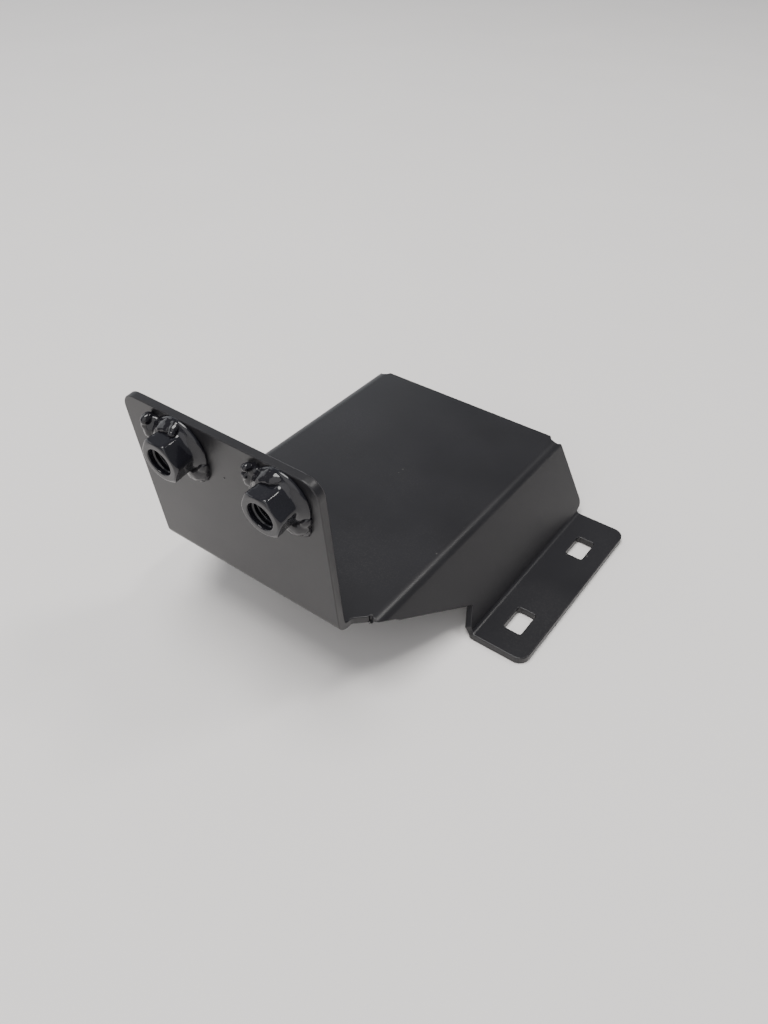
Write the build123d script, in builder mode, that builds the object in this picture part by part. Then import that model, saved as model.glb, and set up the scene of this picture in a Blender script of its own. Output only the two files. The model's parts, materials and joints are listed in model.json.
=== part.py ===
from build123d import *
from math import cos, radians, sin, tan
import os

# Folded steel bracket with two flange nuts tacked to its front plate.
#
# One sheet is folded four times: the front plate stands up from a level panel and leans
# forward, a web folds down from each side of the panel and splays outward, and the right
# web folds out again into a slotted foot. The bracket stands on the foot and on the lower
# edge of the left web.
#
# Frame: +Z up, the front plate faces -Y, and the origin is midway between the foot's two
# slots, on its seating face. Sizes are in millimetres and degrees. "Corner" in a name is
# the line where two flat faces of the sheet would meet if the fold had no radius, taken
# on the face that is on top.

# ---- Sheet and folds ----
sheet = 3.0                    # thickness
bend_inside = 2.0              # inside radius of each fold
bend_outside = bend_inside + sheet

# ---- Level panel ----
panel_top = 32.0               # its top face over the seat
panel_width = 92.1             # between the corners of the two side folds
panel_length = 133.6           # from the plate's back face to the rear edge
side_fold_setback = 7.6        # from the plate's back face to where the side folds start
nose_setback = 3.2             # from the plate's back face to where the panel widens
nose_radius = 2.0              # of the inward corner where it widens
nose_notch_radius = 0.5        # of the notch where it meets a side fold

# ---- Side webs ----
web_splay = 28.3               # from the vertical
web_cut_start = 0.9            # of the raked cut, down the web from the side fold's corner
web_step_setbacks = (14.3, 16.0)  # from the plate's back face to the ends of a step in it
web_step_depths = (4.7, 6.2)   # of those ends, down the web
web_cut_length = 49.6          # from the plate's back face to the deep end of the raked cut
web_cut_depth = 24.5           # of that end, down the web from the side fold's corner
web_heel_radius = 3.6          # of each web's lower rear corner

# ---- Notches at the ends of the folds ----
rear_relief_radius = 2.4       # at the rear end of each side fold
rear_relief_turn = 18.5        # its place round the fold, from the panel
rear_corner_radius = 1.0       # of the corners on both sides of it
foot_relief_radius = 3.2       # at the front end of the fold above the foot
foot_relief_depth = 1.1
foot_relief_rise = 2.0         # of its middle up the web from the fold's corner

# ---- Foot ----
foot_width = 21.7              # from the lower fold's corner to the outer edge
foot_length = 85.4
foot_setback = 43.5            # from the plate's back face to the foot's front end
foot_corner_radius = 4.5

# ---- Slots in the foot, whose middle is the origin ----
slot_length = 11.8
slot_width = 7.2
slot_corner_radius = 1.0
slot_spacing = 49.3
slot_edge_distance = 11.0      # from the slots' centre line to the foot's outer edge
slot_setback = 84.5            # from the plate's back face to the middle of the two slots

# ---- Front plate ----
plate_width = 80.0
plate_height = 62.8            # along its back face, from the panel's top face
plate_lean = 5.8               # forward from the vertical
plate_offset = -1.5            # of its middle from the panel's middle, along X
plate_corner_radius = 6.0

# ---- Flange nuts, M10 ----
nut_across_flats = 14.0
nut_height = 10.0
nut_chamfer_angle = 30.0       # of the worn-off corners at the free end
nut_face_diameter = 13.4       # of the flat left inside them
nut_flange_diameter = 20.8
nut_flange_edge = 1.5          # thickness at the rim
nut_flange_slope = 25.0
nut_bore_diameter = 8.4        # thread crests
nut_mouth_diameter = 10.5      # of the countersink at each end
nut_spacing = 41.0
nut_rise = 52.6                # of the nuts' axes over the panel's top face, along the plate
nut_offset = 5.6               # of their middle from the plate's middle, along X
nut_turns = {"left": 3.5, "right": 6.5}  # about their axes, anticlockwise from flats level
bolt_hole_diameter = 11.0      # in the plate behind each nut

# ---- Tack welds ----
tack_reach = 10.6              # from a nut's axis to a tack's middle
tack_base_diameter = 7.6       # on the plate
tack_top_diameter = 4.0
tack_height = 5.2
tack_crown_radius = 1.2
tack_bearings = (150.0, 305.0)  # round each nut, clockwise from up

# ---- Places worked out from the sizes above ----
turn = 90.0 - web_splay                               # of each side fold and the lower fold
top_fold_take = bend_outside * tan(radians(turn / 2))  # corner to the end of a side fold
low_fold_take = bend_inside * tan(radians(turn / 2))
web_drop = panel_top - sheet                          # side fold's corner to the foot's top
right_web_length = web_drop / cos(radians(web_splay))
left_web_length = (panel_top - sheet * sin(radians(web_splay))) / cos(radians(web_splay))

foot_edge_x = slot_edge_distance
low_corner_x = foot_edge_x - foot_width
right_corner_x = low_corner_x - web_drop * tan(radians(web_splay))
left_corner_x = right_corner_x - panel_width
plate_x = (left_corner_x + right_corner_x) / 2 + plate_offset

plate_y = -slot_setback
rear_y = plate_y + panel_length
side_fold_y = plate_y + side_fold_setback
foot_front_y = plate_y + foot_setback
foot_rear_y = foot_front_y + foot_length
lap = 1.0                                             # of two stretches that are one sheet

plate_turn = 90.0 - plate_lean
plate_fold_take = bend_inside * tan(radians(plate_turn / 2))
plate_out = Vector(0, -cos(radians(plate_lean)), -sin(radians(plate_lean)))
plate_up = Vector(0, -sin(radians(plate_lean)), cos(radians(plate_lean)))
plate_front = Plane(
    origin=Vector(plate_x, plate_y, panel_top) + plate_out * sheet,
    x_dir=(1, 0, 0),
    z_dir=plate_out,
)
nut_places = {"left": nut_offset - nut_spacing / 2, "right": nut_offset + nut_spacing / 2}


def web_point(corner_x, side, distance):
    """A point on a web's outer face, that far down it from its side fold's corner."""
    splay = radians(web_splay)
    return (corner_x + side * distance * sin(splay), panel_top - distance * cos(splay))


def web_plane(corner_x, side):
    """A web's outer face, with X toward the rear and Y down the web."""
    splay = radians(web_splay)
    down = Vector(side * sin(splay), 0, -cos(splay))
    back = Vector(0, 1, 0)
    return Plane(origin=(corner_x, plate_y, panel_top), x_dir=back, z_dir=back.cross(down))


def rear_relief_plane(corner_x, side):
    """The plane touching a side fold at its rear end, where the relief is."""
    angle = radians(rear_relief_turn)
    outward = Vector(side * sin(angle), 0, cos(angle))
    fold_start = Vector(corner_x - side * top_fold_take, rear_y, panel_top - bend_outside)
    return Plane(origin=fold_start + outward * bend_outside, x_dir=(0, 1, 0), z_dir=outward)


sides = ((left_corner_x, -1), (right_corner_x, 1))

# ---- Folded sheet ----
with BuildPart() as bracket:
    # Panel and both webs, a single section along Y.
    with BuildSketch(Plane.XZ.offset(-rear_y)):
        with BuildLine():
            FilletPolyline(
                web_point(left_corner_x, -1, left_web_length),
                (left_corner_x, panel_top),
                (right_corner_x, panel_top),
                web_point(right_corner_x, 1, right_web_length - low_fold_take),
                radius=bend_outside,
            )
            offset(amount=sheet, side=Side.RIGHT)
        make_face()
    extrude(amount=panel_length - side_fold_setback)

    # Rounded heel at each web's lower rear corner.
    for corner_x, side in sides:
        across = Axis((0, 0, 0), web_plane(corner_x, side).z_dir)
        heel = bracket.edges().filter_by(across).group_by(Axis.Y)[-1].group_by(Axis.Z)[0]
        fillet(heel, radius=web_heel_radius)

    # Foot, with the fold that joins it to the right web.
    with BuildSketch(Plane.XZ.offset(-foot_rear_y)):
        with BuildLine():
            FilletPolyline(
                web_point(right_corner_x, 1, right_web_length - low_fold_take - lap),
                (low_corner_x, sheet),
                (foot_edge_x, sheet),
                radius=bend_inside,
            )
            offset(amount=sheet, side=Side.RIGHT)
        make_face()
    extrude(amount=foot_length)
    outer_corners = bracket.edges().filter_by(Axis.Z).group_by(Axis.X)[-1]
    fillet(outer_corners, radius=foot_corner_radius)

    # Nose of the panel, which widens from the plate to the side folds.
    nose_half = plate_width / 2
    with BuildSketch(Plane.XY.offset(panel_top)):
        with BuildLine():
            Polyline(
                (plate_x - nose_half, plate_y + plate_fold_take),
                (plate_x - nose_half, plate_y + nose_setback),
                (left_corner_x + top_fold_take, side_fold_y),
                (left_corner_x + top_fold_take, side_fold_y + lap),
                (right_corner_x - top_fold_take, side_fold_y + lap),
                (right_corner_x - top_fold_take, side_fold_y),
                (plate_x + nose_half, plate_y + nose_setback),
                (plate_x + nose_half, plate_y + plate_fold_take),
                close=True,
            )
        nose = make_face()
        inward_corners = nose.vertices().group_by(Axis.Y)[1]
        fillet(inward_corners, radius=nose_radius)
    extrude(amount=-sheet)

    # Front plate, with the fold that joins it to the panel.
    with BuildSketch(Plane.YZ.offset(plate_x - plate_width / 2)):
        with BuildLine():
            FilletPolyline(
                (plate_y + plate_fold_take + lap, panel_top),
                (plate_y, panel_top),
                (
                    plate_y + plate_height * plate_up.Y,
                    panel_top + plate_height * plate_up.Z,
                ),
                radius=bend_inside,
            )
            offset(amount=sheet, side=Side.LEFT)
        make_face()
    extrude(amount=plate_width)
    top_corners = bracket.edges().filter_by(Axis((0, 0, 0), plate_out)).group_by(Axis.Z)[-1]
    fillet(top_corners, radius=plate_corner_radius)

    # Raked front end of each web, back to the notch beside the foot.
    for corner_x, side in sides:
        with BuildSketch(web_plane(corner_x, side)):
            with BuildLine():
                Polyline(
                    (side_fold_setback, web_cut_start),
                    *zip(web_step_setbacks, web_step_depths),
                    (web_cut_length, web_cut_depth),
                    (foot_setback, right_web_length - low_fold_take),
                    (foot_setback, left_web_length + lap),
                    (0, left_web_length + lap),
                    (0, web_cut_start),
                    close=True,
                )
            make_face()
        extrude(amount=sheet + lap, both=True, mode=Mode.SUBTRACT)

    # Notches at both ends of the side folds.
    for corner_x, side in sides:
        relief = rear_relief_plane(corner_x, side)
        with BuildSketch(relief):
            Circle(rear_relief_radius)
        extrude(amount=bend_outside, both=True, mode=Mode.SUBTRACT)
        rims = bracket.edges().filter_by(Axis((0, 0, 0), relief.z_dir)).group_by(Axis.Y)[-1]
        fillet(rims, radius=rear_corner_radius)
        with BuildSketch(Plane.XY.offset(panel_top)):
            with Locations((corner_x - side * top_fold_take, side_fold_y)):
                Circle(nose_notch_radius)
        extrude(amount=-sheet, mode=Mode.SUBTRACT)

    # Notch at the front end of the fold above the foot.
    fold_middle = Vector(sin(radians(turn / 2)), 0, cos(radians(turn / 2)))
    with BuildSketch(
        Plane(origin=(low_corner_x, foot_front_y, sheet), x_dir=(0, 1, 0), z_dir=fold_middle)
    ):
        with Locations((foot_relief_depth - foot_relief_radius, foot_relief_rise)):
            Circle(foot_relief_radius)
    extrude(amount=bend_outside, both=True, mode=Mode.SUBTRACT)

    # Slots in the foot.
    with BuildSketch():
        with GridLocations(0, slot_spacing, 1, 2):
            RectangleRounded(slot_width, slot_length, slot_corner_radius)
    extrude(amount=sheet, mode=Mode.SUBTRACT)

    # Bolt holes behind the nuts.
    with BuildSketch(plate_front):
        with Locations(*[(x, nut_rise) for x in nut_places.values()]):
            Circle(bolt_hole_diameter / 2)
    extrude(amount=-sheet, mode=Mode.SUBTRACT)
bracket.part.label = "bracket"

# ---- One flange nut, standing on XY with its flange down ----
nut_corner_diameter = nut_across_flats / cos(radians(30))
flange_top = nut_flange_edge + tan(radians(nut_flange_slope)) * (
    nut_flange_diameter - nut_across_flats
) / 2
chamfer_fall = tan(radians(nut_chamfer_angle)) * (nut_corner_diameter - nut_face_diameter) / 2
with BuildPart() as nut:
    with BuildSketch():
        RegularPolygon(nut_across_flats / 2, 6, major_radius=False, rotation=30)
    extrude(amount=nut_height)
    # The free end's corners are turned off to a cone.
    with BuildSketch(Plane.XZ):
        with BuildLine():
            Polyline(
                (0, 0),
                (nut_corner_diameter / 2, 0),
                (nut_corner_diameter / 2, nut_height - chamfer_fall),
                (nut_face_diameter / 2, nut_height),
                (0, nut_height),
                close=True,
            )
        make_face()
    revolve(axis=Axis.Z, mode=Mode.INTERSECT)
    # Flange with a sloping top.
    with BuildSketch(Plane.XZ):
        with BuildLine():
            Polyline(
                (0, 0),
                (nut_flange_diameter / 2, 0),
                (nut_flange_diameter / 2, nut_flange_edge),
                (nut_across_flats / 2, flange_top),
                (0, flange_top),
                close=True,
            )
        make_face()
    revolve(axis=Axis.Z)
    # Bore, countersunk at both ends.
    Hole(nut_bore_diameter / 2)
    mouths = nut.edges().filter_by(GeomType.CIRCLE)
    mouths = [e for e in mouths if abs(e.radius - nut_bore_diameter / 2) < 1e-6]
    chamfer(mouths, length=(nut_mouth_diameter - nut_bore_diameter) / 2)

with BuildPart() as flange_nuts:
    for name, x in nut_places.items():
        with Locations(plate_front):
            with Locations(Location((x, nut_rise, 0), (0, 0, nut_turns[name]))):
                add(nut.part)
flange_nuts.part.label = "flange_nuts"

# ---- Tack welds between the nuts and the plate ----
with BuildPart() as tack:
    with BuildSketch():
        Circle(tack_base_diameter / 2)
    with BuildSketch(Plane.XY.offset(tack_height)):
        Circle(tack_top_diameter / 2)
    loft()
    fillet(tack.edges().group_by(Axis.Z)[-1], radius=tack_crown_radius)

with BuildPart() as weld_tacks:
    for x in nut_places.values():
        for bearing in tack_bearings:
            angle = radians(bearing)
            with Locations(plate_front):
                with Locations((x + tack_reach * sin(angle), nut_rise + tack_reach * cos(angle))):
                    add(tack.part)
    add(flange_nuts.part, mode=Mode.SUBTRACT)
weld_tacks.part.label = "weld_tacks"

os.makedirs("parts", exist_ok=True)
export_step(bracket.part, "parts/bracket.step")
export_step(flange_nuts.part, "parts/flange_nuts.step")
export_step(weld_tacks.part, "parts/weld_tacks.step")
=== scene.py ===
"""Looks of a folded steel bracket in black powder coat.

The bracket is one sheet folded into a panel, a leaning front plate, two splayed webs and a slotted
foot. Two flange nuts are tacked to the front plate. The sheet's shape is the fixed frame's own,
with every cut edge rounded by the coat. The nuts get real threads, soft painted edges and a sloping
flange, and the tacks become lumpy beads that run out over the plate.

Lengths in the classes are millimetres, and angles are degrees. Meshes are made in metres.
"""

import json
import logging
from collections.abc import Callable, Sequence
from dataclasses import dataclass, field
from enum import Enum
from math import atan2, cos, pi, radians, sin, tan

import bmesh
import bpy
from mathutils import Matrix, Vector

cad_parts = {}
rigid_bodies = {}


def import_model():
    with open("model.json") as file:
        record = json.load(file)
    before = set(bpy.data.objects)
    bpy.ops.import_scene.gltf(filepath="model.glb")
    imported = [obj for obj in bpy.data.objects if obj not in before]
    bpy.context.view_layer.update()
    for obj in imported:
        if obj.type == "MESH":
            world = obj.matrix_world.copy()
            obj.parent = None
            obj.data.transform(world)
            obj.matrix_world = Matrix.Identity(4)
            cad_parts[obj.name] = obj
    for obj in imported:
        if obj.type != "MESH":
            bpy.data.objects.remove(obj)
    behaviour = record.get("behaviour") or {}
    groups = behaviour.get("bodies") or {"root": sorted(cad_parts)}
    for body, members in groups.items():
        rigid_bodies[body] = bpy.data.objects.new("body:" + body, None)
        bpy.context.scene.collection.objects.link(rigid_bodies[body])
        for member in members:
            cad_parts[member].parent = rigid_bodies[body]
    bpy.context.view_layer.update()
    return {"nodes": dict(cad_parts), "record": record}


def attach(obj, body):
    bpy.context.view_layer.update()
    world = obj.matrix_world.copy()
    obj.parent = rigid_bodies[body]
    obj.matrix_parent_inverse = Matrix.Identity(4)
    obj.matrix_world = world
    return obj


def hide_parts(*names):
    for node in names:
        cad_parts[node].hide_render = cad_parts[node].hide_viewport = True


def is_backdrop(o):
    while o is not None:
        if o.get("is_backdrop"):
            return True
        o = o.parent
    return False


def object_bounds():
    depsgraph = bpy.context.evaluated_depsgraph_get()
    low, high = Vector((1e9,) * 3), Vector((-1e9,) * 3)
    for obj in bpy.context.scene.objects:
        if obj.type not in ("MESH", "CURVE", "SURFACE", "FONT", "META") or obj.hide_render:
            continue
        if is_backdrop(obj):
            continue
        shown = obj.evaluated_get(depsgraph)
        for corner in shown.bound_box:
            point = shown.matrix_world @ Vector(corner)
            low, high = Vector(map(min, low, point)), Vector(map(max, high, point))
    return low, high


log = logging.getLogger("bracket")

MM = 0.001
"""One millimetre in metres."""

EASE = 0.5
"""How far each round of smoothing moves a corner towards its neighbours."""


class Slot(Enum):
    """The record's material slots."""

    SHEET = "sheet_coat"
    NUT = "nut_coat"
    WELD = "weld_coat"


class Cut(Enum):
    """How one solid works on another."""

    JOIN = "UNION"
    TAKE_AWAY = "DIFFERENCE"
    KEEP_SHARED = "INTERSECT"


# ---- Work at the bench: selecting, shaping and finishing meshes ----


def deselect() -> None:
    """Deselects every object, the frame's nodes among them."""
    for item in bpy.context.view_layer.objects:
        item.select_set(False)


def pick(piece: bpy.types.Object, *more: bpy.types.Object) -> None:
    """Selects pieces and makes the first one active.

    Args:
        piece: The piece that becomes active.
        more: Pieces selected with it.
    """
    deselect()
    for item in (piece, *more):
        item.select_set(True)
    bpy.context.view_layer.objects.active = piece


def new_piece(name: str) -> bpy.types.Object:
    """Names the primitive that was just added.

    Args:
        name: Its name, which its mesh shares.

    Returns:
        The new object.
    """
    piece = bpy.context.active_object
    piece.name = name
    piece.data.name = name
    return piece


def start_edit(piece: bpy.types.Object, mode: str = "FACE") -> None:
    """Opens a piece in edit mode with nothing selected.

    Args:
        piece: The piece to edit.
        mode: What is selected there: VERT, EDGE or FACE.
    """
    pick(piece)
    bpy.ops.object.mode_set(mode="EDIT")
    bpy.ops.mesh.select_mode(type=mode)
    bpy.ops.mesh.select_all(action="DESELECT")


def end_edit() -> None:
    """Goes back to object mode."""
    bpy.ops.object.mode_set(mode="OBJECT")


def select_faces(piece: bpy.types.Object, test: Callable[[bmesh.types.BMFace], bool]) -> None:
    """Selects the faces of a piece in edit mode that pass a test.

    Args:
        piece: The piece being edited.
        test: Says of a face whether it is selected.
    """
    shape = bmesh.from_edit_mesh(piece.data)
    for face in shape.faces:
        face.select_set(bool(test(face)))
    bmesh.update_edit_mesh(piece.data)


def select_edges(piece: bpy.types.Object, test: Callable[[bmesh.types.BMEdge], bool]) -> None:
    """Selects the edges of a piece in edit mode that pass a test.

    Args:
        piece: The piece being edited.
        test: Says of an edge whether it is selected.
    """
    shape = bmesh.from_edit_mesh(piece.data)
    for edge in shape.edges:
        edge.select_set(bool(test(edge)))
    bmesh.update_edit_mesh(piece.data)


def select_verts(piece: bpy.types.Object, test: Callable[[Vector], bool]) -> None:
    """Selects the corners of a piece in edit mode whose place passes a test.

    Args:
        piece: The piece being edited.
        test: Says of a corner's place whether it is selected.
    """
    shape = bmesh.from_edit_mesh(piece.data)
    for corner in shape.verts:
        corner.select_set(bool(test(corner.co)))
    shape.select_flush(True)
    shape.select_flush(False)
    bmesh.update_edit_mesh(piece.data)


def apply_modifier(piece: bpy.types.Object, kind: str, **settings: object) -> None:
    """Adds a modifier to a piece and applies it.

    Args:
        piece: The piece that is shaped.
        kind: The modifier's type.
        settings: Its values, by property name.
    """
    pick(piece)
    modifier = piece.modifiers.new(kind.title(), kind)
    for key, value in settings.items():
        setattr(modifier, key, value)
    bpy.ops.object.modifier_apply(modifier=modifier.name)


def combine(piece: bpy.types.Object, tool: bpy.types.Object, how: Cut) -> None:
    """Works one closed solid on another and discards the tool.

    Args:
        piece: The solid that stays.
        tool: The solid that is used up.
        how: Whether the tool is joined, taken away or the shared part kept.
    """
    apply_modifier(piece, "BOOLEAN", object=tool, operation=how.value, solver="EXACT")
    bpy.data.objects.remove(tool)
    bpy.context.view_layer.update()


def settle(piece: bpy.types.Object, place: Matrix | None = None) -> None:
    """Puts a piece in its place, with the place in its mesh and the object at the origin.

    Args:
        piece: The piece to put down.
        place: Where its own origin and axes go, if it isn't there already.
    """
    if place is not None:
        piece.matrix_world = place
    pick(piece)
    bpy.ops.object.transform_apply(location=True, rotation=True, scale=True)


def smooth(piece: bpy.types.Object, angle: float = 35.0) -> None:
    """Shades a piece smooth up to an angle.

    Args:
        piece: The piece to shade.
        angle: Edges sharper than this stay sharp.
    """
    pick(piece)
    bpy.ops.object.shade_smooth_by_angle(angle=radians(angle))


def merge(piece: bpy.types.Object, *others: bpy.types.Object) -> None:
    """Makes several pieces one object.

    Args:
        piece: The piece that stays.
        others: The pieces that join it.
    """
    pick(piece, *others)
    bpy.ops.object.join()


# ---- Effects shared by the coats ----


class Graph:
    """Short calls for building a node tree."""

    def __init__(self, tree: bpy.types.NodeTree) -> None:
        """Keeps the tree that nodes are added to."""
        self.tree = tree

    def add(self, kind: str, **settings: object) -> bpy.types.Node:
        """Adds a node.

        Args:
            kind: The node's type, without its ShaderNode prefix.
            settings: Its properties, by name.

        Returns:
            The node.
        """
        prefix = "" if kind.startswith("NodeGroup") else "ShaderNode"
        node = self.tree.nodes.new(prefix + kind)
        for key, value in settings.items():
            setattr(node, key, value)
        return node

    def feed(self, socket: bpy.types.NodeSocket, source: object) -> None:
        """Links a socket to another one, or sets its value.

        Args:
            socket: The input to feed.
            source: An output socket, a number or a tuple.
        """
        if isinstance(source, bpy.types.NodeSocket):
            self.tree.links.new(source, socket)
        else:
            socket.default_value = source

    def maths(self, operation: str, *values: object, clamp: bool = False) -> bpy.types.NodeSocket:
        """Works out a number.

        Args:
            operation: The Math node's operation.
            values: Its inputs, in order.
            clamp: Whether the result is kept between 0 and 1.

        Returns:
            The result's socket.
        """
        node = self.add("Math", operation=operation, use_clamp=clamp)
        for socket, value in zip(node.inputs, values):
            self.feed(socket, value)
        return node.outputs[0]

    def noise(self, vector: object, scale: object, detail: float) -> bpy.types.NodeSocket:
        """Adds a noise pattern.

        Args:
            vector: The coordinates it reads.
            scale: Its cells a metre.
            detail: How many finer layers it has.

        Returns:
            The noise's value, about 0.5 in the middle.
        """
        node = self.add("TexNoise")
        self.feed(node.inputs["Vector"], vector)
        self.feed(node.inputs["Scale"], scale)
        self.feed(node.inputs["Detail"], detail)
        return node.outputs["Fac"]

    def spread(
        self, value: object, low: float, high: float, soft: bool = True
    ) -> bpy.types.NodeSocket:
        """Stretches the part of a value between two limits over 0 to 1.

        Args:
            value: The value to stretch.
            low: Where it becomes 0.
            high: Where it becomes 1.
            soft: Whether both ends run out gently.

        Returns:
            The stretched value's socket.
        """
        node = self.add("MapRange", interpolation_type="SMOOTHSTEP" if soft else "LINEAR")
        self.feed(node.inputs["Value"], value)
        self.feed(node.inputs["From Min"], low)
        self.feed(node.inputs["From Max"], high)
        return node.outputs["Result"]


class Effect(Enum):
    """The effects that every coat draws on, each one a node group."""

    ORANGE_PEEL = "orange_peel"
    EDGE_WEAR = "edge_wear"
    DUST_FILM = "dust_film"


@dataclass
class EffectShelf:
    """Builds each shared effect once and hands it out."""

    made: dict[Effect, bpy.types.NodeTree] = field(default_factory=dict)

    def start(self, effect: Effect, inputs: dict[str, tuple[str, float]], output: str) -> Graph:
        """Starts a node group with its sockets.

        Args:
            effect: The effect that the group gives.
            inputs: Each input's socket type and first value, by name.
            output: The name of its one output.

        Returns:
            The group's graph, with input and output nodes named source and result.
        """
        tree = bpy.data.node_groups.new(effect.value, "ShaderNodeTree")
        for name, (kind, value) in inputs.items():
            socket = tree.interface.new_socket(name=name, in_out="INPUT", socket_type=kind)
            if kind == "NodeSocketFloat":
                socket.default_value = value
        tree.interface.new_socket(name=output, in_out="OUTPUT", socket_type="NodeSocketFloat")
        graph = Graph(tree)
        graph.add("NodeGroupInput", name="source")
        graph.add("NodeGroupOutput", name="result")
        self.made[effect] = tree
        return graph

    def build(self) -> None:
        """Builds all the effects."""
        self.orange_peel()
        self.edge_wear()
        self.dust_film()

    def orange_peel(self) -> None:
        """Makes the dimpled height of a baked coat: long waves, peel and fine grain."""
        graph = self.start(
            Effect.ORANGE_PEEL,
            {
                "Vector": ("NodeSocketVector", 0.0),
                "Cells": ("NodeSocketFloat", 700.0),
                "Waves": ("NodeSocketFloat", 0.5),
                "Grain": ("NodeSocketFloat", 0.2),
            },
            "Height",
        )
        long_share, fine_share = 0.16, 4.5
        source = graph.tree.nodes["source"].outputs
        result = graph.tree.nodes["result"].inputs
        peel = graph.noise(source["Vector"], source["Cells"], 1.0)
        long_cells = graph.maths("MULTIPLY", source["Cells"], long_share)
        waves = graph.noise(source["Vector"], long_cells, 1.5)
        grain_cells = graph.maths("MULTIPLY", source["Cells"], fine_share)
        grain = graph.noise(source["Vector"], grain_cells, 2.0)
        height = graph.maths("MULTIPLY_ADD", waves, source["Waves"], peel)
        height = graph.maths("MULTIPLY_ADD", grain, source["Grain"], height)
        graph.feed(result["Height"], height)

    def edge_wear(self) -> None:
        """Makes the mask of thin or rubbed coat along outward edges."""
        graph = self.start(
            Effect.EDGE_WEAR,
            {
                "Vector": ("NodeSocketVector", 0.0),
                "Reach": ("NodeSocketFloat", 0.0006),
                "Patches": ("NodeSocketFloat", 260.0),
                "Amount": ("NodeSocketFloat", 0.5),
            },
            "Mask",
        )
        least_bend, full_bend = 0.005, 0.12
        patch_edge, patch_core = 0.42, 0.62
        source = graph.tree.nodes["source"].outputs
        result = graph.tree.nodes["result"].inputs
        rounded = graph.add("Bevel", samples=6)
        graph.feed(rounded.inputs["Radius"], source["Reach"])
        surface = graph.add("NewGeometry")
        likeness = graph.add("VectorMath", operation="DOT_PRODUCT")
        graph.feed(likeness.inputs[0], rounded.outputs["Normal"])
        graph.feed(likeness.inputs[1], surface.outputs["Normal"])
        bend = graph.maths("SUBTRACT", 1.0, likeness.outputs["Value"])
        edge = graph.spread(bend, least_bend, full_bend)
        blots = graph.noise(source["Vector"], source["Patches"], 3.0)
        patches = graph.spread(blots, patch_edge, patch_core)
        mask = graph.maths("MULTIPLY", edge, patches)
        mask = graph.maths("MULTIPLY", mask, source["Amount"], clamp=True)
        graph.feed(result["Mask"], mask)

    def dust_film(self) -> None:
        """Makes the mask of dust on faces that look up, with a few larger specks."""
        graph = self.start(
            Effect.DUST_FILM,
            {
                "Vector": ("NodeSocketVector", 0.0),
                "Film": ("NodeSocketFloat", 0.3),
                "Specks": ("NodeSocketFloat", 0.6),
            },
            "Mask",
        )
        cloud_cells, grain_cells, speck_cells = 26.0, 1900.0, 210.0
        steep, level = 0.2, 0.95
        speck_edge, speck_core = 0.10, 0.05
        bare_share = 0.93
        source = graph.tree.nodes["source"].outputs
        result = graph.tree.nodes["result"].inputs
        surface = graph.add("NewGeometry")
        parts = graph.add("SeparateXYZ")
        graph.feed(parts.inputs[0], surface.outputs["Normal"])
        upward = graph.spread(parts.outputs["Z"], steep, level)
        cloud = graph.spread(graph.noise(source["Vector"], cloud_cells, 4.0), 0.36, 0.72)
        fine = graph.spread(graph.noise(source["Vector"], grain_cells, 2.0), 0.45, 0.75)
        film = graph.maths("MULTIPLY", cloud, fine)
        film = graph.maths("MULTIPLY", film, source["Film"])
        cells = graph.add("TexVoronoi", feature="F1")
        graph.feed(cells.inputs["Vector"], source["Vector"])
        graph.feed(cells.inputs["Scale"], speck_cells)
        near = graph.spread(cells.outputs["Distance"], speck_edge, speck_core)
        tone = graph.add("SeparateColor")
        graph.feed(tone.inputs[0], cells.outputs["Color"])
        rare = graph.maths("GREATER_THAN", tone.outputs[0], bare_share)
        speck = graph.maths("MULTIPLY", near, rare)
        speck = graph.maths("MULTIPLY", speck, source["Specks"])
        both = graph.maths("MAXIMUM", film, speck)
        graph.feed(result["Mask"], graph.maths("MULTIPLY", both, upward, clamp=True))


# ---- Finishes ----


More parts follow.
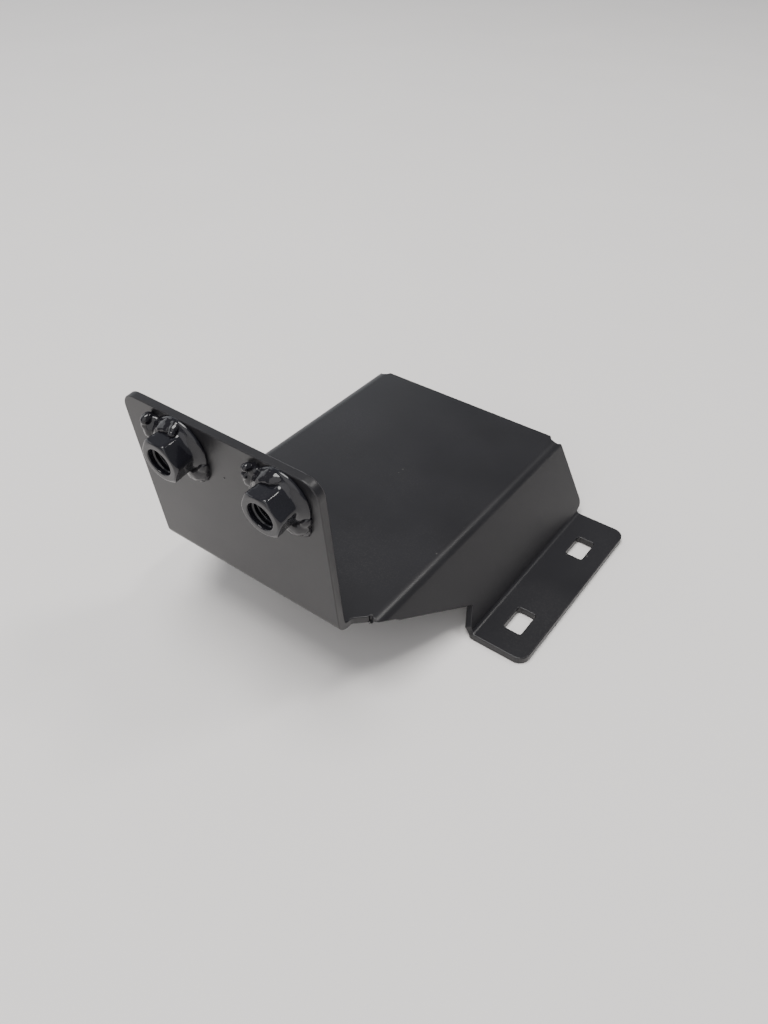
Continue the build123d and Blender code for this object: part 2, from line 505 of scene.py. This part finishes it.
@dataclass(frozen=True)
class PowderCoat:
    """A sprayed and baked coat over steel, with its depths and reaches in millimetres."""

    name: str
    colour: tuple[float, float, float]
    worn_colour: tuple[float, float, float]
    gloss: float
    gloss_change: float
    peel_cells: float
    peel_depth: float
    waves: float
    grain: float
    wear: float
    wear_reach: float
    film: float
    specks: float = 0.2
    index: float = 1.48
    cloud_cells: float = 38.0
    dark_cloud: float = 0.9
    light_cloud: float = 1.12
    worn_roughness: float = 0.10
    dusty_roughness: float = 0.45
    dust_colour: tuple[float, float, float] = (0.30, 0.29, 0.27)

    def make(self, shelf: EffectShelf) -> bpy.types.Material:
        """Builds the coat's material.

        Args:
            shelf: The shared effects.

        Returns:
            The material.
        """
        material = bpy.data.materials.new(self.name)
        material.use_nodes = True
        graph = Graph(material.node_tree)
        shader = material.node_tree.nodes["Principled BSDF"]
        place = graph.add("TexCoord").outputs["Object"]

        peel = self.effect(graph, shelf, Effect.ORANGE_PEEL, place)
        graph.feed(peel.inputs["Cells"], self.peel_cells)
        graph.feed(peel.inputs["Waves"], self.waves)
        graph.feed(peel.inputs["Grain"], self.grain)
        bump = graph.add("Bump")
        graph.feed(bump.inputs["Height"], peel.outputs["Height"])
        graph.feed(bump.inputs["Distance"], self.peel_depth * MM)
        graph.feed(shader.inputs["Normal"], bump.outputs["Normal"])

        wear = self.effect(graph, shelf, Effect.EDGE_WEAR, place)
        graph.feed(wear.inputs["Amount"], self.wear)
        graph.feed(wear.inputs["Reach"], self.wear_reach * MM)
        dust = self.effect(graph, shelf, Effect.DUST_FILM, place)
        graph.feed(dust.inputs["Film"], self.film)
        graph.feed(dust.inputs["Specks"], self.specks)

        clouds = graph.spread(graph.noise(place, self.cloud_cells, 3.0), 0.3, 0.7, soft=False)
        tinted = self.mix(graph, clouds, self.shade(self.dark_cloud), self.shade(self.light_cloud))
        worn = self.mix(graph, wear.outputs["Mask"], tinted, (*self.worn_colour, 1.0))
        dusty = self.mix(graph, dust.outputs["Mask"], worn, (*self.dust_colour, 1.0))
        graph.feed(shader.inputs["Base Color"], dusty)

        glossiest = self.gloss - self.gloss_change / 2
        rough = graph.maths("MULTIPLY_ADD", clouds, self.gloss_change, glossiest)
        rough = graph.maths("MULTIPLY_ADD", wear.outputs["Mask"], self.worn_roughness, rough)
        rough = graph.maths(
            "MULTIPLY_ADD", dust.outputs["Mask"], self.dusty_roughness, rough, clamp=True
        )
        graph.feed(shader.inputs["Roughness"], rough)
        shader.inputs["IOR"].default_value = self.index
        return material

    def shade(self, factor: float) -> tuple[float, float, float, float]:
        """Gives the coat's colour, lighter or darker by a factor."""
        return (*(channel * factor for channel in self.colour), 1.0)

    @staticmethod
    def effect(
        graph: Graph, shelf: EffectShelf, effect: Effect, place: bpy.types.NodeSocket
    ) -> bpy.types.Node:
        """Places one of the shared effects in a material.

        Args:
            graph: The material's graph.
            shelf: The shared effects.
            effect: Which one.
            place: The coordinates it reads.

        Returns:
            The group's node.
        """
        node = graph.add("Group", node_tree=shelf.made[effect])
        graph.feed(node.inputs["Vector"], place)
        return node

    @staticmethod
    def mix(graph: Graph, share: object, low: object, high: object) -> bpy.types.NodeSocket:
        """Mixes two colours.

        Args:
            graph: The material's graph.
            share: How much of the second colour shows.
            low: The first colour.
            high: The second colour.

        Returns:
            The mixed colour's socket.
        """
        node = graph.add("Mix", data_type="RGBA")
        graph.feed(node.inputs["Factor"], share)
        graph.feed(node.inputs["A"], low)
        graph.feed(node.inputs["B"], high)
        return node.outputs["Result"]


@dataclass(frozen=True)
class PaleFloor:
    """A matt, nearly white floor."""

    name: str = "pale_floor"
    colour: tuple[float, float, float] = (0.80, 0.78, 0.765)
    cloud_cells: float = 9.0
    dark_cloud: float = 0.97
    roughness: float = 0.65
    shine: float = 0.3

    def make(self) -> bpy.types.Material:
        """Builds the floor's material.

        Returns:
            The material.
        """
        material = bpy.data.materials.new(self.name)
        material.use_nodes = True
        graph = Graph(material.node_tree)
        shader = material.node_tree.nodes["Principled BSDF"]
        place = graph.add("TexCoord").outputs["Object"]
        clouds = graph.spread(graph.noise(place, self.cloud_cells, 4.0), 0.25, 0.75, soft=False)
        dark = (*(channel * self.dark_cloud for channel in self.colour), 1.0)
        tinted = PowderCoat.mix(graph, clouds, dark, (*self.colour, 1.0))
        graph.feed(shader.inputs["Base Color"], tinted)
        shader.inputs["Roughness"].default_value = self.roughness
        shader.inputs["Specular IOR Level"].default_value = self.shine
        return material


# ---- The plate that the nuts stand on ----


@dataclass(frozen=True)
class PlateFace:
    """The front plate's nut face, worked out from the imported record's mounts."""

    record: dict
    nut_height: float = 10.0

    def mount(self, name: str) -> dict:
        """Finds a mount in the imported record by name."""
        return next(item for item in self.record["mounts"] if item["name"] == name)

    def nut_place(self, name: str, turn: float) -> Matrix:
        """Gives the place of a nut, with Z off the plate and Y up along it.

        Args:
            name: The thread's mount.
            turn: How far the nut is turned anticlockwise about its axis.

        Returns:
            The place of the nut's seat, in metres.
        """
        mount = self.mount(name)
        inward = Vector(mount["axis"])
        seat = Vector(mount["pos_m"]) + inward * (self.nut_height / 2 * MM)
        off = -inward
        across = Vector((1.0, 0.0, 0.0))
        turned = Matrix((across, off.cross(across), off)).transposed().to_4x4()
        return Matrix.Translation(seat) @ turned @ Matrix.Rotation(radians(turn), 4, "Z")


# ---- Folded sheet ----


@dataclass
class FoldedSheet:
    """The folded sheet, with its cut edges rounded by the coat."""

    edge_radius: float = 0.4
    edge_segments: int = 3
    edge_angle: float = 35.0
    flat_angle: float = 0.4
    same_place: float = 0.002
    shade_angle: float = 40.0

    def build(self, node: bpy.types.Object) -> bpy.types.Object:
        """Copies the sheet's shape and rounds its edges.

        Args:
            node: The frame's sheet.

        Returns:
            The finished sheet.
        """
        pick(node)
        bpy.ops.object.duplicate()
        sheet = new_piece("folded_sheet")
        start_edit(sheet, "VERT")
        bpy.ops.mesh.select_all(action="SELECT")
        bpy.ops.mesh.remove_doubles(threshold=self.same_place * MM)
        bpy.ops.mesh.customdata_custom_splitnormals_clear()
        bpy.ops.mesh.select_all(action="SELECT")
        bpy.ops.mesh.dissolve_limited(angle_limit=radians(self.flat_angle))
        end_edit()
        apply_modifier(
            sheet,
            "BEVEL",
            width=self.edge_radius * MM,
            segments=self.edge_segments,
            limit_method="ANGLE",
            angle_limit=radians(self.edge_angle),
            use_clamp_overlap=False,
            miter_outer="MITER_ARC",
        )
        smooth(sheet, self.shade_angle)
        apply_modifier(sheet, "WEIGHTED_NORMAL", keep_sharp=True, weight=50)
        return sheet

    def dress(self, sheet: bpy.types.Object, coat: bpy.types.Material) -> None:
        """Coats the sheet and ties it to the frame.

        Args:
            sheet: The finished sheet.
            coat: Its material.
        """
        sheet.data.materials.clear()
        sheet.data.materials.append(coat)
        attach(sheet, "root")
        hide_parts("bracket")
        log.info("%s: %d faces", sheet.name, len(sheet.data.polygons))


# ---- Flange nuts ----


@dataclass
class FlangeNut:
    """An M10 flange nut, seat on its own XY plane and bore along Z."""

    across_flats: float = 14.0
    height: float = 10.0
    corner_round: float = 0.9
    face_diameter: float = 13.4
    chamfer_angle: float = 30.0
    flange_diameter: float = 20.8
    flange_edge: float = 1.0
    flange_slope: float = 32.0
    rim_round: float = 0.45
    root_radius: float = 4.65
    crest_radius: float = 4.2
    mouth_radius: float = 4.75
    mouth_depth: float = 0.35
    thread_start: float = 0.9
    run_out_turns: float = 0.8
    run_out_steps: int = 7
    pitch: float = 1.5
    ridge_base: float = 1.15
    ridge_crest: float = 0.3
    ridge_sink: float = 0.12
    run_out_growth: float = 1.027
    turn_steps: int = 40
    overshoot: float = 2.0
    cone_base: float = 24.0
    flange_overlap: float = 0.6
    skirt_bottom: float = 1.6
    skirt_top: float = 7.0
    skirt_clearance: float = 1.0
    wall_margin: float = 0.05
    round_segments: int = 4
    facets: int = 96
    shade_angle: float = 60.0
    thread_shade_angle: float = 25.0
    grid: float = 0.2
    rounding: int = 12
    skirt_rounding: int = 70

    def build(self) -> bpy.types.Object:
        """Makes one nut.

        Returns:
            The nut, standing at the origin.
        """
        nut = self.hexagon()
        combine(nut, self.turned_top(), Cut.KEEP_SHARED)
        combine(nut, self.flange(), Cut.JOIN)
        combine(nut, self.bore(), Cut.TAKE_AWAY)
        apply_modifier(nut, "REMESH", mode="VOXEL", voxel_size=self.grid * MM)
        apply_modifier(nut, "SMOOTH", factor=EASE, iterations=self.rounding)
        self.blend_skirt(nut)
        smooth(nut, self.shade_angle)
        thread = self.thread()
        merge(nut, thread)
        return nut

    def blend_skirt(self, nut: bpy.types.Object) -> None:
        """Softens the hollow where the flange's slope meets the hexagon.

        Args:
            nut: The nut, already an even grid of small faces.
        """
        inside = (self.root_radius + self.skirt_clearance) * MM
        low, high = self.skirt_bottom * MM, self.skirt_top * MM
        start_edit(nut, "VERT")
        select_verts(nut, lambda co: low < co.z < high and co.xy.length > inside)
        bpy.ops.mesh.vertices_smooth(factor=EASE, repeat=self.skirt_rounding)
        end_edit()

    def hexagon(self) -> bpy.types.Object:
        """Makes the hexagon with soft upright corners.

        Returns:
            The hexagon, on its seat.
        """
        half_side = radians(30)
        corner = self.across_flats / 2 / cos(half_side)
        upright = self.height / 2 * MM
        deselect()
        bpy.ops.mesh.primitive_cylinder_add(
            vertices=6,
            radius=corner * MM,
            depth=self.height * MM,
            location=(0, 0, self.height / 2 * MM),
            rotation=(0, 0, half_side),
        )
        piece = new_piece("flange_nut")
        settle(piece)
        start_edit(piece, "EDGE")
        select_edges(piece, lambda edge: abs(edge.verts[0].co.z - edge.verts[1].co.z) > upright)
        bpy.ops.mesh.bevel(offset=self.corner_round * MM, segments=self.round_segments)
        end_edit()
        return piece

    def turned_top(self) -> bpy.types.Object:
        """Makes the cone that turns off the corners at the free end.

        Returns:
            The cone, with its small end at the nut's free face.
        """
        depth = (self.cone_base - self.face_diameter / 2) * tan(radians(self.chamfer_angle))
        deselect()
        bpy.ops.mesh.primitive_cone_add(
            vertices=self.facets,
            radius1=self.cone_base * MM,
            radius2=self.face_diameter / 2 * MM,
            depth=depth * MM,
            location=(0, 0, (self.height - depth / 2) * MM),
        )
        piece = new_piece("nut_cone")
        settle(piece)
        return piece

    def flange(self) -> bpy.types.Object:
        """Makes the flange: a disc with a soft rim and a sloping top.

        Returns:
            The flange, on its seat.
        """
        inner = self.across_flats / 2 - self.flange_overlap
        rise = (self.flange_diameter / 2 - inner) * tan(radians(self.flange_slope))
        deselect()
        bpy.ops.mesh.primitive_cylinder_add(
            vertices=self.facets,
            radius=self.flange_diameter / 2 * MM,
            depth=self.flange_edge * MM,
            location=(0, 0, self.flange_edge / 2 * MM),
        )
        piece = new_piece("nut_flange")
        settle(piece)
        start_edit(piece, "FACE")
        select_faces(piece, lambda face: face.normal.z > 0.9)
        bpy.ops.mesh.extrude_region_move(TRANSFORM_OT_translate={"value": (0, 0, rise * MM)})
        shrink = inner / (self.flange_diameter / 2)
        bpy.ops.transform.resize(value=(shrink, shrink, 1))
        rim_height = self.flange_edge * MM
        bpy.ops.mesh.select_all(action="DESELECT")
        bpy.ops.mesh.select_mode(type="EDGE")
        select_edges(piece, lambda edge: all(abs(v.co.z - rim_height) < 1e-6 for v in edge.verts))
        bpy.ops.mesh.bevel(offset=self.rim_round * MM, segments=self.round_segments)
        end_edit()
        return piece

    def bore(self) -> bpy.types.Object:
        """Makes the solid that is taken out for the bore and its two mouths.

        Returns:
            The bore's solid, past the nut at both ends.
        """
        deselect()
        bpy.ops.mesh.primitive_cylinder_add(
            vertices=self.facets,
            radius=self.root_radius * MM,
            depth=(self.height + self.overshoot) * MM,
            location=(0, 0, self.height / 2 * MM),
        )
        piece = new_piece("nut_bore")
        settle(piece)
        start_edit(piece, "FACE")
        half = self.height / 2
        for side in (1, -1):
            bpy.ops.mesh.select_all(action="SELECT")
            level = half + side * (half - self.mouth_depth)
            bpy.ops.mesh.bisect(plane_co=(0, 0, level * MM), plane_no=(0, 0, 1))
        slope = (self.mouth_radius - self.root_radius) / self.mouth_depth
        wide = 1 + slope * (self.mouth_depth + self.overshoot / 2) / self.root_radius
        bpy.ops.mesh.select_mode(type="VERT")
        select_verts(piece, lambda co: abs(co.z / MM - half) > half + 0.5)
        bpy.ops.transform.resize(value=(wide, wide, 1))
        end_edit()
        return piece

    def thread(self) -> bpy.types.Object:
        """Makes the thread as a ridge wound up the bore, run out into the wall at both ends.

        Returns:
            The thread, in the nut's bore.
        """
        deselect()
        bpy.ops.mesh.primitive_plane_add(size=1.0, rotation=(radians(90), 0, 0))
        ridge = new_piece("nut_thread")
        settle(ridge)
        reach = self.root_radius + self.ridge_sink - self.crest_radius
        middle = (self.root_radius + self.ridge_sink + self.crest_radius) / 2
        start_edit(ridge, "VERT")
        bpy.ops.mesh.select_all(action="SELECT")
        bpy.ops.mesh.delete(type="ONLY_FACE")
        bpy.ops.mesh.select_all(action="SELECT")
        bpy.ops.transform.resize(value=(reach * MM, 1, self.ridge_base * MM))
        bpy.ops.transform.translate(value=(middle * MM, 0, self.thread_start * MM))
        select_verts(ridge, lambda co: co.x < middle * MM)
        bpy.ops.transform.resize(
            value=(1, 1, self.ridge_crest / self.ridge_base),
            center_override=(0, 0, self.thread_start * MM),
        )
        end_edit()
        steps = int(round(self.turns * self.turn_steps))
        apply_modifier(
            ridge,
            "SCREW",
            axis="Z",
            angle=2 * pi * self.turns,
            screw_offset=self.turns * self.pitch * MM,
            iterations=1,
            steps=steps,
            render_steps=steps,
            use_smooth_shade=False,
        )
        self.run_out(ridge)
        smooth(ridge, self.thread_shade_angle)
        return ridge

    @property
    def turns(self) -> float:
        """How many turns the thread has."""
        return (self.height - 2 * self.thread_start) / self.pitch

    def run_out(self, ridge: bpy.types.Object) -> None:
        """Closes the thread's ends and sinks its crest into the wall over the last turn.

        Args:
            ridge: The wound ridge, open at both ends.
        """
        within = (self.root_radius + self.wall_margin) * MM
        growth = self.run_out_growth
        start_edit(ridge, "VERT")
        bpy.ops.mesh.select_all(action="SELECT")
        bpy.ops.mesh.fill_holes(sides=4)
        bpy.ops.mesh.select_all(action="SELECT")
        bpy.ops.mesh.normals_make_consistent(inside=False)
        for step in range(self.run_out_steps):
            share = (step + 1) / self.run_out_steps * self.run_out_turns
            select_verts(
                ridge,
                lambda co: co.xy.length < within
                and min(self.turn_of(co), self.turns - self.turn_of(co)) < share,
            )
            bpy.ops.transform.resize(value=(growth, growth, 1), center_override=(0, 0, 0))
        end_edit()

    def turn_of(self, co: Vector) -> float:
        """Says how many turns up the thread a point of its crest lies.

        Args:
            co: The point, in the nut's own frame.

        Returns:
            The turns from the thread's start to the point.
        """
        part = atan2(co.y, co.x) / (2 * pi)
        rise = (co.z / MM - self.thread_start) / self.pitch
        return round(rise - part) + part

    def dress(
        self, model: bpy.types.Object, name: str, place: Matrix, coat: bpy.types.Material
    ) -> bpy.types.Object:
        """Copies the nut to its place, coats it and ties it to the frame.

        Args:
            model: The nut at the origin.
            name: The copy's name.
            place: Where it goes.
            coat: Its material.

        Returns:
            The placed copy.
        """
        pick(model)
        bpy.ops.object.duplicate()
        nut = new_piece(name)
        settle(nut, place)
        nut.data.materials.clear()
        nut.data.materials.append(coat)
        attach(nut, "root")
        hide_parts("flange_nuts")
        log.info("%s: %d faces", nut.name, len(nut.data.polygons))
        return nut


# ---- Tack welds ----


@dataclass(frozen=True)
class Lump:
    """One lump of weld metal, placed round a nut, with half its length, width and height.

    The bearing runs clockwise from the plate's upper edge, and the turn is anticlockwise.
    """

    bearing: float
    reach: float
    rise: float
    along: float
    across: float
    height: float
    turn: float = 0.0


@dataclass
class WeldBeads:
    """The weld metal round one nut, in the nut's own frame before it is turned."""

    name: str
    lumps: Sequence[Lump]
    roughness: float = 0.32
    ripple_size: float = 2.2
    ripple_layers: int = 2
    grid: float = 0.22
    rounding: int = 15
    last_rounding: int = 2
    shade_angle: float = 70.0

    def build(self, place: Matrix) -> bpy.types.Object:
        """Makes the beads round one nut.

        Args:
            place: The nut's seat, not turned about its axis.

        Returns:
            The beads, in their place.
        """
        merge(*[self.lump(number, lump) for number, lump in enumerate(self.lumps)])
        beads = new_piece(self.name)
        apply_modifier(beads, "REMESH", mode="VOXEL", voxel_size=self.grid * MM)
        apply_modifier(beads, "SMOOTH", factor=EASE, iterations=self.rounding)
        pattern = bpy.data.textures.new(self.name + "_ripple", "CLOUDS")
        pattern.noise_scale = self.ripple_size * MM
        pattern.noise_depth = self.ripple_layers
        apply_modifier(
            beads,
            "DISPLACE",
            texture=pattern,
            texture_coords="LOCAL",
            strength=self.roughness * MM,
            mid_level=0.5,
        )
        apply_modifier(beads, "SMOOTH", factor=EASE, iterations=self.last_rounding)
        smooth(beads, self.shade_angle)
        settle(beads, place)
        return beads

    def lump(self, number: int, lump: Lump) -> bpy.types.Object:
        """Makes one lump, with its long axis along the bearing's tangent.

        Args:
            number: Its number, for its name.
            lump: Its place and size.

        Returns:
            The lump.
        """
        bearing = radians(lump.bearing)
        deselect()
        bpy.ops.mesh.primitive_ico_sphere_add(
            subdivisions=4,
            radius=1.0,
            location=(
                lump.reach * sin(bearing) * MM,
                lump.reach * cos(bearing) * MM,
                lump.rise * MM,
            ),
            rotation=(0, 0, -bearing + radians(lump.turn)),
            scale=(lump.along * MM, lump.across * MM, lump.height * MM),
        )
        piece = new_piece(f"{self.name}_{number}")
        settle(piece)
        return piece

    def dress(self, beads: bpy.types.Object, coat: bpy.types.Material) -> None:
        """Coats the beads and ties them to the frame.

        Args:
            beads: The beads in their place.
            coat: Their material.
        """
        beads.data.materials.clear()
        beads.data.materials.append(coat)
        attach(beads, "root")
        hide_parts("weld_tacks")
        log.info("%s: %d faces", beads.name, len(beads.data.polygons))


# ---- Stage ----

HALF_PIXEL = 0.5 / 1024
"""Half a pixel of a frame 1024 pixels high, as the camera's shift counts it."""


@dataclass(frozen=True)
class SoftLight:
    """One large, soft studio light."""

    name: str
    direction: tuple[float, float, float]
    distance: float
    size: float
    power: float
    colour: tuple[float, float, float] = (1.0, 1.0, 1.0)

    def hang(self, aim: Vector) -> None:
        """Hangs the light and turns it to the object.

        Args:
            aim: The point that it shines at.
        """
        lamp = bpy.data.lights.new(self.name, "AREA")
        lamp.shape = "DISK"
        lamp.size = self.size
        lamp.energy = self.power
        lamp.color = self.colour
        holder = bpy.data.objects.new(self.name, lamp)
        bpy.context.scene.collection.objects.link(holder)
        away = Vector(self.direction).normalized()
        holder.location = aim + away * self.distance
        holder.rotation_euler = away.to_track_quat("Z", "Y").to_euler()


@dataclass
class Stage:
    """The floor, the lights and the camera. The floor, lights and clipping are in metres."""

    floor_size: float = 6.0
    floor_cuts: int = 6
    sky_colour: tuple[float, float, float] = (0.93, 0.95, 1.0)
    sky_strength: float = 0.32
    lights: Sequence[SoftLight] = (
        SoftLight("ceiling_softbox", (-0.1, -0.12, 0.99), 2.0, 1.2, 44.0, (1.0, 0.985, 0.97)),
        SoftLight("front_card", (0.15, -0.85, 0.5), 2.4, 3.2, 30.0, (1.0, 0.985, 0.97)),
        SoftLight("left_card", (-0.95, -0.1, 0.28), 2.6, 2.4, 18.0, (0.98, 0.99, 1.0)),
        SoftLight("back_lamp", (0.34, 0.5, 0.8), 2.2, 0.3, 6.5, (1.0, 0.98, 0.95)),
        SoftLight("rim_lamp", (0.38, 0.37, 0.85), 2.2, 0.25, 4.0, (1.0, 0.98, 0.95)),
        SoftLight("far_card", (-0.72, 0.62, 0.32), 3.0, 1.7, 6.0, (0.93, 0.96, 1.0)),
    )
    camera_place: tuple[float, float, float] = (80.557, -218.404, 230.643)
    camera_turn: tuple[float, float, float] = (49.3003, -0.2803, 36.731)
    focal_length: float = 28.69
    shift: tuple[float, float] = (-HALF_PIXEL, HALF_PIXEL)
    nearest: float = 0.01

    def lay_floor(self) -> None:
        """Lays the floor."""
        deselect()
        bpy.ops.mesh.primitive_plane_add(size=self.floor_size)
        floor = new_piece("studio_floor")
        start_edit(floor, "FACE")
        bpy.ops.mesh.select_all(action="SELECT")
        bpy.ops.mesh.subdivide(number_cuts=self.floor_cuts)
        end_edit()
        settle(floor)
        floor.data.materials.append(PaleFloor().make())
        floor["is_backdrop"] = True

    def light(self) -> None:
        """Lights the stage softly from all round."""
        world = bpy.data.worlds.new("studio_air")
        world.use_nodes = True
        air = world.node_tree.nodes["Background"]
        air.inputs["Color"].default_value = (*self.sky_colour, 1.0)
        air.inputs["Strength"].default_value = self.sky_strength
        bpy.context.scene.world = world
        low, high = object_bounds()
        aim = (Vector(low) + Vector(high)) / 2
        for lamp in self.lights:
            lamp.hang(aim)

    def set_camera(self) -> None:
        """Puts the camera in its place and makes it the scene's."""
        view = bpy.data.cameras.new("studio_camera")
        view.lens = self.focal_length
        view.shift_x, view.shift_y = self.shift
        view.clip_start = self.nearest
        holder = bpy.data.objects.new("studio_camera", view)
        bpy.context.scene.collection.objects.link(holder)
        holder.location = Vector(self.camera_place) * MM
        holder.rotation_euler = tuple(radians(angle) for angle in self.camera_turn)
        bpy.context.scene.camera = holder


SHEET_COAT = PowderCoat(
    name="sheet_powder_coat",
    colour=(0.0090, 0.0086, 0.0104),
    worn_colour=(0.035, 0.035, 0.038),
    gloss=0.36,
    gloss_change=0.05,
    peel_cells=620.0,
    peel_depth=0.006,
    waves=0.8,
    grain=0.12,
    wear=0.5,
    wear_reach=0.6,
    film=0.04,
)
NUT_COAT = PowderCoat(
    name="nut_powder_coat",
    colour=(0.009, 0.009, 0.012),
    worn_colour=(0.03, 0.03, 0.034),
    gloss=0.12,
    gloss_change=0.05,
    peel_cells=520.0,
    peel_depth=0.02,
    waves=1.2,
    grain=0.1,
    wear=0.35,
    wear_reach=0.5,
    film=0.03,
)
WELD_COAT = PowderCoat(
    name="weld_powder_coat",
    colour=(0.008, 0.0075, 0.010),
    worn_colour=(0.03, 0.03, 0.034),
    gloss=0.12,
    gloss_change=0.06,
    peel_cells=600.0,
    peel_depth=0.014,
    waves=1.4,
    grain=0.08,
    wear=0.2,
    wear_reach=0.4,
    film=0.03,
)

# Bearing, reach, rise, half the length, width and height, and the turn where there is one.

LEFT_LUMPS = (
    Lump(318.0, 7.3, 0.3, 6.4, 2.7, 4.8),
    Lump(345.0, 7.3, 0.3, 4.6, 2.8, 4.4),
    Lump(296.0, 8.2, 0.8, 4.6, 2.6, 2.5),
    Lump(286.0, 10.8, 1.4, 3.8, 3.0, 3.5),
    Lump(292.0, 12.3, 1.6, 2.5, 2.4, 3.1),
    Lump(302.0, 13.0, 2.2, 1.9, 1.8, 2.6, 20.0),
    Lump(270.0, 10.8, 0.4, 3.4, 2.8, 2.3),
    Lump(300.0, 10.8, 0.6, 2.4, 2.0, 2.0),
    Lump(322.0, 8.6, 0.4, 3.4, 1.4, 1.7),
    Lump(350.0, 8.4, 0.4, 2.8, 1.2, 1.4),
    Lump(13.0, 7.9, 3.4, 1.3, 1.2, 1.8),
    Lump(10.0, 8.7, 2.2, 1.5, 1.2, 1.8),
    Lump(7.0, 9.1, 1.0, 1.7, 1.2, 1.6),
    Lump(146.0, 9.2, 0.6, 5.0, 3.4, 3.2),
    Lump(142.0, 11.0, 0.2, 3.0, 2.1, 2.1),
    Lump(166.0, 10.4, 0.2, 3.8, 3.0, 2.2),
    Lump(122.0, 9.4, 0.5, 3.2, 1.9, 2.2),
    Lump(144.0, 12.3, 0.0, 1.4, 1.2, 1.1),
    Lump(162.0, 12.8, 0.0, 2.2, 1.4, 1.0),
)
RIGHT_LUMPS = (
    Lump(318.0, 7.3, 0.3, 6.4, 2.8, 4.6),
    Lump(346.0, 7.3, 0.3, 5.0, 2.8, 4.2),
    Lump(294.0, 8.4, 0.8, 4.6, 2.8, 2.5),
    Lump(286.0, 10.8, 0.8, 4.0, 3.0, 3.0),
    Lump(272.0, 11.0, 0.4, 3.2, 2.7, 2.2),
    Lump(302.0, 11.2, 0.7, 2.6, 2.2, 2.3),
    Lump(324.0, 8.6, 0.4, 3.0, 1.5, 1.7),
    Lump(296.0, 13.9, 1.4, 1.2, 1.0, 1.3),
    Lump(304.0, 13.0, 2.0, 1.1, 1.0, 1.2),
    Lump(308.0, 12.9, 2.6, 1.5, 1.3, 1.7),
    Lump(311.0, 12.2, 1.8, 1.0, 0.9, 1.1),
    Lump(294.0, 11.6, 3.2, 1.1, 0.8, 1.0),
    Lump(285.0, 13.2, 1.9, 0.9, 1.0, 1.0),
    Lump(150.0, 9.4, 0.6, 5.0, 3.6, 3.3),
    Lump(148.0, 11.6, 0.2, 3.4, 2.3, 2.2),
    Lump(168.0, 10.6, 0.2, 3.8, 3.0, 2.3),
    Lump(126.0, 9.6, 0.5, 3.4, 1.9, 2.2),
    Lump(148.0, 13.3, 0.0, 1.4, 1.2, 1.1),
    Lump(164.0, 13.3, 0.0, 2.4, 1.4, 1.0),
    Lump(256.8, 25.8, 0.0, 0.55, 0.5, 0.35),
)


@dataclass(frozen=True)
class NutSeat:
    """A place on the plate for a nut and the weld metal round it."""

    side: str
    mount: str
    turn: float
    lumps: Sequence[Lump]


SEATS = (
    NutSeat("left", "nut_thread_left", 3.5, LEFT_LUMPS),
    NutSeat("right", "nut_thread_right", 6.5, RIGHT_LUMPS),
)


def main() -> None:
    """Builds the bracket piece by piece and sets the stage."""
    logging.basicConfig(level=logging.INFO, format="%(name)s: %(message)s")
    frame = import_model()

    shelf = EffectShelf()
    shelf.build()
    sheet_coat = SHEET_COAT.make(shelf)
    nut_coat = NUT_COAT.make(shelf)
    weld_coat = WELD_COAT.make(shelf)

    folded = FoldedSheet()
    folded.dress(folded.build(frame["nodes"]["bracket"]), sheet_coat)

    face = PlateFace(frame["record"])
    kind = FlangeNut()
    model = kind.build()
    for seat in SEATS:
        place = face.nut_place(seat.mount, seat.turn)
        kind.dress(model, f"flange_nut_{seat.side}", place, nut_coat)
    bpy.data.objects.remove(model)

    for seat in SEATS:
        beads = WeldBeads(f"weld_{seat.side}", seat.lumps)
        beads.dress(beads.build(face.nut_place(seat.mount, 0.0)), weld_coat)

    stage = Stage()
    stage.set_camera()
    stage.light()
    stage.lay_floor()


if __name__ == "__main__":
    main()
